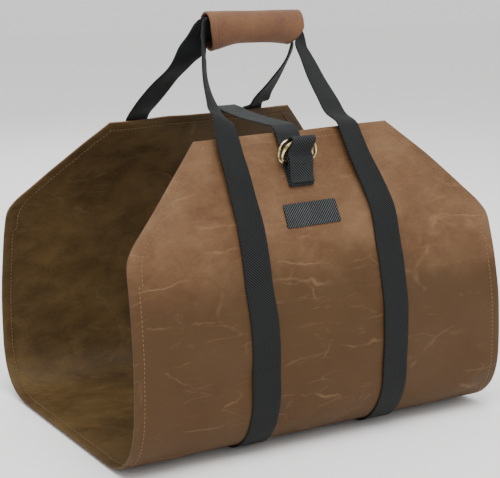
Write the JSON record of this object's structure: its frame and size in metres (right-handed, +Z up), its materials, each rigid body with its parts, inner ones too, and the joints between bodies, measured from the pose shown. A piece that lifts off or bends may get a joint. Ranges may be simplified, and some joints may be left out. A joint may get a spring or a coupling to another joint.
{
  "type": "canvas log carrier",
  "caption": "Open cradle of waxed canvas with slanted corners, webbing handles joined in a leather grip and a strap that closes the mouth with metal rings.",
  "frame": {"origin": "bottom centre of the bounding box, on the floor under the middle of the base", "axes": "+X along the panels' width, -Y towards the panel with the rings, +Z up towards the grip"},
  "size_m": [0.46, 0.3632, 0.4545],
  "materials": {
    "canvas": "waxed cotton canvas, semi-matte, brown",
    "webbing": "woven black webbing, matte",
    "grip_leather": "waxed leather, reddish brown, semi-matte",
    "ring_metal": "cast and plated, pale antique brass",
    "patch": "woven black patch, matte"
  },
  "bodies": {
    "root": {"canvas_body": "canvas", "webbing_front": "webbing", "webbing_back": "webbing", "grip_wrap": "grip_leather", "d_ring_inner": "ring_metal", "d_ring_outer": "ring_metal", "d_ring_tab": "webbing", "security_strap": "webbing", "label_patch": "patch"}
  },
  "joints": []
}
